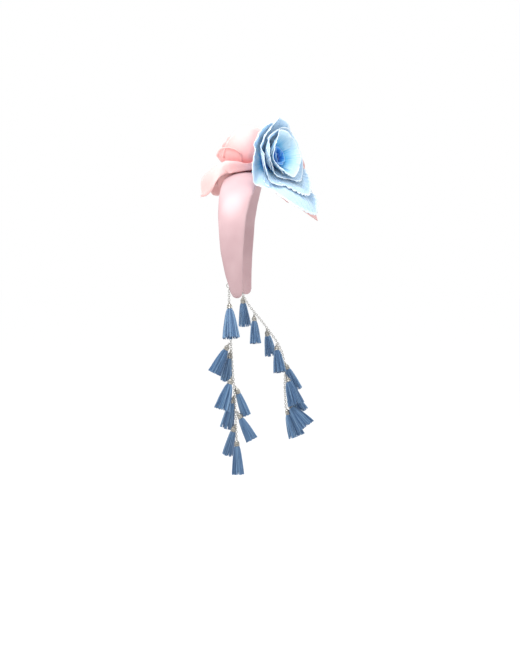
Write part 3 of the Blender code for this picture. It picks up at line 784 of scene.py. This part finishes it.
def core_piece(name, finish, slot):
    """The ball, stem and foot as one soft form, rounded where they meet, with the thread's turns raised."""
    bm = bmesh.new()
    bm.from_mesh(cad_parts[name].data)
    bmesh.ops.remove_doubles(bm, verts=bm.verts, dist=MERGE_DISTANCE)
    draft = piece_from(f"wound_{name}", bm, finish, slot, name, smooth_deg=180)
    remesh = draft.modifiers.new("even", "REMESH")
    remesh.mode = "VOXEL"
    remesh.voxel_size = CORE_VOXEL * MM
    rounding = draft.modifiers.new("rounded", "SMOOTH")
    rounding.factor = 0.5
    rounding.iterations = CORE_ROUNDINGS
    even = bpy.data.meshes.new_from_object(draft.evaluated_get(bpy.context.evaluated_depsgraph_get()))
    draft.modifiers.clear()
    bm = bmesh.new()
    bm.from_mesh(even)
    bm.normal_update()
    for vert in bm.verts:
        spot = vert.co / MM
        slanted = spot.z + CORE_WIND_SLANT_Y * spot.y + CORE_WIND_SLANT_X * spot.x
        turn = (slanted + CORE_WIND_WANDER * noise.noise(spot / CORE_WIND_PATCH)) / CORE_WIND_STEP
        vert.co += vert.normal * (CORE_WIND_HEIGHT * math.cos(2 * math.pi * turn) * MM)
    bm.to_mesh(draft.data)
    bm.free()
    bpy.data.meshes.remove(even)
    draft.data.shade_smooth()


# The second colour of each is the painted shade in the grooves.
core_piece("blue_core", wound_cotton("blue_wound_cotton", (120, 172, 216), (84, 136, 190)), "blue_fabric")
pink_cotton = wound_cotton("pink_wound_cotton", (222, 150, 154), (176, 100, 108))
core_piece("crown_core", pink_cotton, "pink_fabric")
core_piece("brow_core", pink_cotton, "pink_fabric")

# Hanging rings: one soft silver wire ring inside each tip of the band, half of it behind the rear edge. Four
# stitches of pink thread go through the satin and round the wire.
RING_RADIUS = 3.0
RING_WIRE = 0.45
RING_NODE_WIRE = 0.6
STITCH_WIRE = 0.28
STITCH_HALF_LENGTH = 1.1
STITCH_HALF_WIDTH = 0.85
STITCH_TURNS_DEG = (-30, -10, 10, 30)
WIRE_MAP = (0.01, 0.002)
MIDWAY = 1e-6  # a turn whose cosine is below this lies between the loop's two ends
FINE_MERGE_DISTANCE = 0.000002


def silver():
    """Bright silver-coloured plating: mirror-like, with fine specks of painted sparkle, darker in colour and
    a little duller in some, brighter in others.
    """
    made, shader = new_finish("silver_plating")
    tree = made.node_tree
    place = add_node(tree, "ShaderNodeTexCoord").outputs["Object"]
    painted_sparkle_and_dull_specks = add_noise(tree, place, 900.0, 3.0)
    dull = add_node(
        tree,
        "ShaderNodeMapRange",
        {"Value": painted_sparkle_and_dull_specks, "From Min": 0.3, "From Max": 0.7, "To Min": 0.34, "To Max": 0.16},
    )
    # The darker and brighter specks in the colour are painted sparkle; the same specks vary the roughness.
    feed(shader, {
        "Base Color": add_ramp(tree, painted_sparkle_and_dull_specks, (0.30, (84, 80, 74)), (0.65, (206, 204, 197))),
        "Roughness": dull.outputs["Result"],
        "Metallic": 1.0,
    })
    return made


def wire_loop(bm, matrix, half_length, half_width, wire, steps=12, sides=6):
    """A closed loop of round wire about its local Z, straight along X where it is longer than it is wide."""
    straight = half_length - half_width

    def place(x, y):
        turn, round_wire = 2 * math.pi * x, 2 * math.pi * y
        end = 0 if abs(math.cos(turn)) < MIDWAY else math.copysign(straight, math.cos(turn))
        reach = wire * math.cos(round_wire)
        spot = Vector((
            end + (half_width + reach) * math.cos(turn),
            (half_width + reach) * math.sin(turn),
            wire * math.sin(round_wire),
        ))
        return (matrix @ spot) * MM

    mapped_grid(bm, steps, sides, place, WIRE_MAP)


def facing(along, up, spot):
    """A placing in millimetres, local X along one direction and local Z as near to up as that leaves it."""
    z = (up - along * up.dot(along)).normalized()
    turn = Matrix((along, z.cross(along), z)).transposed().to_4x4()
    return Matrix.Translation(spot) @ turn


def closed(bm):
    """The mesh with its seams merged and its faces pointing out."""
    bmesh.ops.remove_doubles(bm, verts=bm.verts, dist=FINE_MERGE_DISTANCE)
    bmesh.ops.recalc_face_normals(bm, faces=bm.faces)
    return bm


silver_plating = silver()
stitch_thread = wound_cotton("pink_stitches", (226, 190, 200), (176, 134, 146))
for side_name, side in (("right", -1), ("left", 1)):
    low, high = (Vector(corner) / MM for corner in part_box(f"{side_name}_hanging_ring"))
    ring_centre = (low + high) / 2
    ring_lean = (high.x - low.x - 2 * RING_NODE_WIRE) / (2 * RING_RADIUS)
    across_ring = Vector((side, 0, ring_lean)).normalized()
    ring_bm = mapped_mesh()
    ring_turn = facing(Vector((0, 1, 0)), across_ring, ring_centre)
    wire_loop(ring_bm, ring_turn, RING_RADIUS, RING_RADIUS, RING_WIRE, steps=40, sides=10)
    ring_name = f"{side_name}_hanging_ring"
    piece_from(f"{side_name}_ring_wire", closed(ring_bm), silver_plating, "silver", ring_name)
    stitch_bm = mapped_mesh()
    for stitch_deg in STITCH_TURNS_DEG:
        angle = math.radians(180 + stitch_deg)
        spoke = (ring_turn.to_3x3() @ Vector((math.cos(angle), math.sin(angle), 0))).normalized()
        spot = ring_centre + spoke * RING_RADIUS
        stitch_turn = facing(spoke, spoke.cross(across_ring), spot)
        wire_loop(stitch_bm, stitch_turn, STITCH_HALF_LENGTH, STITCH_HALF_WIDTH, STITCH_WIRE)
    piece_from(f"{side_name}_ring_stitches", closed(stitch_bm), stitch_thread, "satin")

# Chains: fine cable chain of plain oval links, each standing across its neighbours, from the hanging ring
# down to the last tassel. The right one hangs straight and the left one swings forward.
LINK_HALF_LENGTH = 1.85
LINK_HALF_WIDTH = 1.25
LINK_WIRE = 0.36
LINK_PITCH = 2.92
ROUTE_STEP = 0.25
CURVE_STEPS = 24
LINK_REACH = 5  # a link runs as its route does over this many steps to each side
ROUTES = {
    "right": (
        (-69.0, 21.0, -146.6),
        (-70.0, 21.0, -168.6),
        (-70.0, 19.5, -202.6),
        (-70.0, 17.4, -241.6),
        (-70.0, 13.8, -290.6),
        (-70.0, 11.5, -341.6),
    ),
    "left": (
        (69.0, 21.0, -146.6),
        (66.5, 8.0, -172.0),
        (60.0, -18.0, -204.0),
        (54.0, -38.0, -232.0),
        (50.0, -46.0, -258.0),
        (46.0, -46.5, -290.0),
        (43.0, -48.0, -318.6),
    ),
}


def smooth_path(points, step):
    """Points about that step apart on a smooth curve through the given ones, in millimetres."""
    given = [np.array(p, float) for p in points]
    padded = [2 * given[0] - given[1], *given, 2 * given[-1] - given[-2]]
    dense = []
    for before, start, end, after in zip(padded, padded[1:], padded[2:], padded[3:]):
        for share in np.linspace(0, 1, CURVE_STEPS, endpoint=False):
            bend = (2 * before - 5 * start + 4 * end - after) * share**2
            twist = (3 * start - before - 3 * end + after) * share**3
            dense.append(0.5 * (2 * start + (end - before) * share + bend + twist))
    dense = np.array([*dense, given[-1]])
    lengths = np.concatenate([[0], np.cumsum(np.linalg.norm(np.diff(dense, axis=0), axis=1))])
    count = max(2, round(lengths[-1] / step) + 1)
    wanted = np.linspace(0, lengths[-1], count)
    return np.stack([np.interp(wanted, lengths, dense[:, axis]) for axis in range(3)], axis=1)


def chain_links(side_name):
    """Where each link of a chain sits: its centre, the way it runs and the way its flat side faces."""
    route = smooth_path(ROUTES[side_name], ROUTE_STEP)
    length = ROUTE_STEP * (len(route) - 1)
    count = math.ceil((length - LINK_HALF_LENGTH) / LINK_PITCH)
    links = []
    for number in range(count + 1):
        index = round(number * (length - LINK_HALF_LENGTH) / count / ROUTE_STEP)
        before = route[max(index - LINK_REACH, 0)]
        after = route[min(index + LINK_REACH, len(route) - 1)]
        along = Vector(after - before).normalized()
        sideways = Vector((0, 1, 0)) if number % 2 == 0 else Vector((1, 0, 0))
        links.append((Vector(route[index]), along, (sideways - along * sideways.dot(along)).normalized()))
    return links


LINKS = {side_name: chain_links(side_name) for side_name in ROUTES}
for side_name, links in LINKS.items():
    chain_bm = mapped_mesh()
    for spot, along, faces in links:
        wire_loop(chain_bm, facing(along, faces, spot), LINK_HALF_LENGTH, LINK_HALF_WIDTH, LINK_WIRE)
    piece_from(f"{side_name}_cable_chain", closed(chain_bm), silver_plating, "silver", f"{side_name}_chain")

# Tassels: a turned silver cap with three rows of raised beads and a wire eye, joined to the chain by a small
# jump ring. A bundle of silky blue threads, folded over and glued into the cap, spreads into loose locks.
CHAIN_RADIUS = 1.1
SEAT_GAP = 0.3
CAP_EYE_RADIUS = 0.6
CAP_LENGTH = 11.0
TASSEL_OFFSET = CHAIN_RADIUS + SEAT_GAP + CAP_EYE_RADIUS
EYE_DROP = 1.3
EYE_RADIUS = 1.05
EYE_WIRE = 0.28
JUMP_WIRE = 0.3
CAP_STEPS = 32
PLACING_STEP = 1.0  # a tassel's place along its chain is then a number of steps
PLACING_STEPS_BACK = 3
CapPoint = namedtuple("CapPoint", "radius height")
CAP_PROFILE = (
    CapPoint(0.0, -2.3),
    CapPoint(0.9, -2.35),
    CapPoint(1.25, -2.7),
    CapPoint(1.15, -3.2),
    CapPoint(1.3, -3.7),
    CapPoint(2.2, -4.4),
    CapPoint(2.8, -5.3),
    CapPoint(3.05, -6.4),
    CapPoint(3.1, -7.0),
    CapPoint(3.0, -7.4),
    CapPoint(3.05, -9.6),
    CapPoint(3.25, -10.0),
    CapPoint(3.3, -10.8),
    CapPoint(3.1, -11.0),
    CapPoint(0.0, -11.0),
)
BeadRow = namedtuple("BeadRow", "count radius height bead")
BEAD_ROWS = (BeadRow(13, 3.15, -6.9, 0.55), BeadRow(13, 3.05, -8.5, 0.62), BeadRow(14, 3.25, -10.2, 0.60))
THREADS_OUTSIDE = 120
THREADS_INSIDE = 36
THREADS_OUTSIDE_AT = (0.95, 1.02)  # of the skirt's half width
THREADS_INSIDE_AT = (0.35, 0.9)
THREAD_RADIUS = 0.34
THREAD_UNEVEN = (0.8, 1.25)
THREAD_ROOT_THICK = 0.75
SKIRT_LOCKS = 7
SKIRT_NECK = 2.6
SKIRT_SPREAD_POWER = 0.6
SKIRT_INTO_CAP = 1.2
SKIRT_LONGER = 1.5
FLUTE_DEPTH = 0.09
HEM_UNEVEN = 0.8
LONG_THREAD_SHARE = 0.25
LOCK_PULL = 0.22  # how far each thread leans to the middle of its lock
LOCK_STRAY = 0.08
THREAD_SWAY = 0.5
SWAY_TURNS_X = 5
SWAY_TURNS_Y = 4
THREAD_ROWS = 10
THREAD_SIDES = 4
BUNDLE_ROUND = 42
BUNDLE_ROWS = 12
BUNDLE_SHARE = 0.9  # of the skirt's width, filled behind the threads
BUNDLE_LENGTH = 0.965
BUNDLE_BOTTOM = 1 / 1.001
# The inner bundle is tinted darker than most threads: painted shade between them.
BUNDLE_SHADE_TINT = 0.15
THREAD_MAP = (0.002, 0.03)
BUNDLE_MAP = (0.04, 0.03)
Tassel = namedtuple("Tassel", "along forward_deg outward_deg length width depth")
TASSELS = {
    "right": (
        Tassel(16, 5, 22, 39, 22, 12),
        Tassel(70, -26, 8, 33, 18, 10),
        Tassel(80, -11, -21, 34, 15, 10),
        Tassel(114, -16, 18, 34, 21, 11),
        Tassel(127, 19, -8, 31, 13, 9),
        Tassel(139, -14, -20, 39, 18, 10),
        Tassel(160, 28, 4, 31, 16, 11),
        Tassel(177, -15, -17, 36, 14, 10),
        Tassel(200, 2, 2, 37, 16, 11),
    ),
    "left": (
        Tassel(15, 2, 20, 36, 18, 12),
        Tassel(46, 4, -14, 32, 16, 10),
        Tassel(74, 8, 22, 32, 18, 10),
        Tassel(100, 8, -22, 32, 18, 10),
        Tassel(130, 20, 16, 34, 20, 10),
        Tassel(148, 20, -18, 34, 24, 10),
        Tassel(164, 27, 16, 34, 26, 10),
        Tassel(186, 38, -12, 34, 28, 10),
        Tassel(200, 20, 6, 34, 24, 11),
    ),
}


def tassel_placing(side_name, side, tassel):
    """Where a tassel hangs: its eye at the origin, local -Z down it and local X across its wide side."""
    forward = math.tan(math.radians(tassel.forward_deg))
    outward = math.tan(math.radians(tassel.outward_deg)) * side
    down = Vector((outward, -forward, -1)).normalized()
    route = smooth_path(ROUTES[side_name], PLACING_STEP)
    index = min(round(tassel.along), len(route) - 1)
    onward = Vector(route[index] - route[index - PLACING_STEPS_BACK]).normalized()
    sideways = (down - onward * down.dot(onward)).normalized()
    past_end = tassel.along > len(route)
    eye = Vector(route[index]) + (down * SEAT_GAP if past_end else sideways * TASSEL_OFFSET)
    deep = Vector((1, 0, 0))
    deep = (deep - down * deep.dot(down)).normalized()
    turn = Matrix((deep.cross(-down), deep, -down)).transposed().to_4x4()
    return Matrix.Translation(eye) @ turn


def in_fixed_order(bm):
    """The mesh with its points and faces sorted by place: spun forms and balls come in any order."""
    for number, vert in enumerate(sorted(bm.verts, key=lambda vert: tuple(vert.co))):
        vert.index = number
    for number, face in enumerate(sorted(bm.faces, key=lambda face: tuple(face.calc_center_median()))):
        face.index = number
    bm.verts.sort()
    bm.faces.sort()
    return bm


def tassel_cap(name, placing, links):
    """The cap with its beads and eye, and the jump ring that joins the eye to the nearest link."""
    bm = mapped_mesh()
    verts = [bm.verts.new((point.radius, 0, point.height)) for point in CAP_PROFILE]
    edges = [bm.edges.new(pair) for pair in zip(verts, verts[1:])]
    bmesh.ops.spin(
        bm,
        geom=verts + edges,
        cent=(0, 0, 0),
        axis=(0, 0, 1),
        angle=2 * math.pi,
        steps=CAP_STEPS,
        use_merge=True,
    )
    for row in BEAD_ROWS:
        for number in range(row.count):
            angle = 2 * math.pi * number / row.count
            spot = Vector((row.radius * math.cos(angle), row.radius * math.sin(angle), row.height))
            turn = Matrix.Translation(spot) @ Matrix.Rotation(angle, 4, "Z")
            bmesh.ops.create_uvsphere(bm, u_segments=6, v_segments=4, radius=row.bead, matrix=turn)
    bmesh.ops.transform(bm, verts=bm.verts, matrix=Matrix.Scale(MM, 4) @ placing)
    eye = placing @ Vector((0, 0, -EYE_DROP))
    link, along, faces = min(links, key=lambda one: (one[0] - eye).length)
    to_eye = (eye - link).normalized()
    through = (faces - to_eye * faces.dot(to_eye)).normalized()
    stem = placing.to_3x3() @ Vector((0, 0, -1))
    wire_loop(bm, facing(stem, through, eye), EYE_RADIUS, EYE_RADIUS, EYE_WIRE, steps=16)
    reach = (eye - link).length / 2
    wire_loop(bm, facing(to_eye, to_eye.cross(through), (eye + link) / 2), reach, reach, JUMP_WIRE, steps=18)
    cap_bm = in_fixed_order(closed(bm))
    piece_from(f"{name}_bell", cap_bm, silver_plating, "silver", f"{name}_cap", smooth_deg=40)


def skirt_point(tassel, angle, share, inside=1.0):
    """On the skirt's outside at an angle round it and a share of the way down, in the tassel's own frame."""
    grown = share**SKIRT_SPREAD_POWER
    wide = SKIRT_NECK + (tassel.width / 2 - SKIRT_NECK) * grown
    deep = SKIRT_NECK + (tassel.depth / 2 - SKIRT_NECK) * grown
    flute = 1 - FLUTE_DEPTH * share * (0.5 - 0.5 * math.cos(SKIRT_LOCKS * angle))
    down = CAP_LENGTH - SKIRT_INTO_CAP + (tassel.length + SKIRT_LONGER) * share
    return Vector((wide * flute * inside * math.cos(angle), deep * flute * inside * math.sin(angle), -down))


def one_thread(bm, tint, tassel, placing, chance, inside):
    """A single thread from the cap to the hem, its two ends closed, all its points one tint."""
    first = chance.uniform(0, 2 * math.pi)
    lock = round(first * SKIRT_LOCKS / (2 * math.pi)) * 2 * math.pi / SKIRT_LOCKS
    last = first + LOCK_PULL * (lock - first) + chance.uniform(-LOCK_STRAY, LOCK_STRAY)
    end = 1 + chance.uniform(-HEM_UNEVEN, LONG_THREAD_SHARE * HEM_UNEVEN) / tassel.length
    sway = chance.uniform(-THREAD_SWAY, THREAD_SWAY)
    phase = chance.uniform(0, 2 * math.pi)
    own_tint = chance.random()
    radius = THREAD_RADIUS * chance.uniform(*THREAD_UNEVEN)

    def place(x, y):
        share = min(max((y - 1 / THREAD_ROWS) / ((THREAD_ROWS - 2) / THREAD_ROWS), 0), 1) * end
        angle = first + (last - first) * share
        centre = skirt_point(tassel, angle, share, inside)
        swung = (math.sin(SWAY_TURNS_X * share + phase), math.cos(SWAY_TURNS_Y * share + phase), 0)
        centre += Vector(swung) * (sway * share)
        thick = 0 if y in (0, 1) else radius * (THREAD_ROOT_THICK + (1 - THREAD_ROOT_THICK) * share)
        turn = 2 * math.pi * x
        spot = centre + Vector((math.cos(turn), math.sin(turn), 0)) * thick
        return (placing @ spot) * MM

    for vert in mapped_grid(bm, THREAD_SIDES, THREAD_ROWS, place, THREAD_MAP):
        vert[tint] = own_tint


def tassel_skirt(name, tassel, placing):
    """The threads of one tassel, with a full inner bundle behind them so that no gap shows through, tinted
    dark as painted shade between the threads.
    """
    chance = random.Random(name)
    bm = mapped_mesh()
    tint = bm.verts.layers.float.new("tint")

    def bundle(x, y):
        down = min(y, BUNDLE_BOTTOM) * BUNDLE_LENGTH
        spot = skirt_point(tassel, 2 * math.pi * x, down, BUNDLE_SHARE if y > 0 else 0.0)
        if y == 1:
            spot = Vector((0, 0, spot.z))
        return (placing @ spot) * MM

    for vert in mapped_grid(bm, BUNDLE_ROUND, BUNDLE_ROWS, bundle, BUNDLE_MAP):
        vert[tint] = BUNDLE_SHADE_TINT
    for number in range(THREADS_OUTSIDE + THREADS_INSIDE):
        reach = THREADS_OUTSIDE_AT if number < THREADS_OUTSIDE else THREADS_INSIDE_AT
        one_thread(bm, tint, tassel, placing, chance, chance.uniform(*reach))
    piece_from(f"{name}_threads", closed(bm), blue_thread, "thread", f"{name}_skirt")


def silky_thread():
    """Silky steel blue thread: each one its own shade, with a narrow sheen along it."""
    made, shader = new_finish("blue_silky_thread")
    tree = made.node_tree
    own = add_node(tree, "ShaderNodeAttribute", attribute_name="tint").outputs["Fac"]
    shades = ((0.0, (50, 84, 124)), (0.55, (80, 120, 162)), (1.0, (134, 168, 198)))
    cloth = add_node(tree, "ShaderNodeUVMap", uv_map="cloth").outputs["UV"]
    twist = add_stretch(tree, cloth, (900, 900, 1))
    strand = add_node(
        tree, "ShaderNodeTexWave", {"Vector": twist, "Scale": 1.0}, bands_direction="DIAGONAL"
    )
    feed(shader, {
        "Base Color": add_ramp(tree, own, *shades),
        "Normal": add_bump(tree, strand.outputs["Fac"], 0.2, 0.0001),
        "Roughness": 0.42,
        "Sheen Weight": 0.3,
    })
    return made


blue_thread = silky_thread()
for side_name, side in (("right", -1), ("left", 1)):
    for number, tassel in enumerate(TASSELS[side_name], 1):
        name = f"{side_name}_tassel_{number}"
        placing = tassel_placing(side_name, side, tassel)
        tassel_cap(name, placing, LINKS[side_name])
        tassel_skirt(name, tassel, placing)
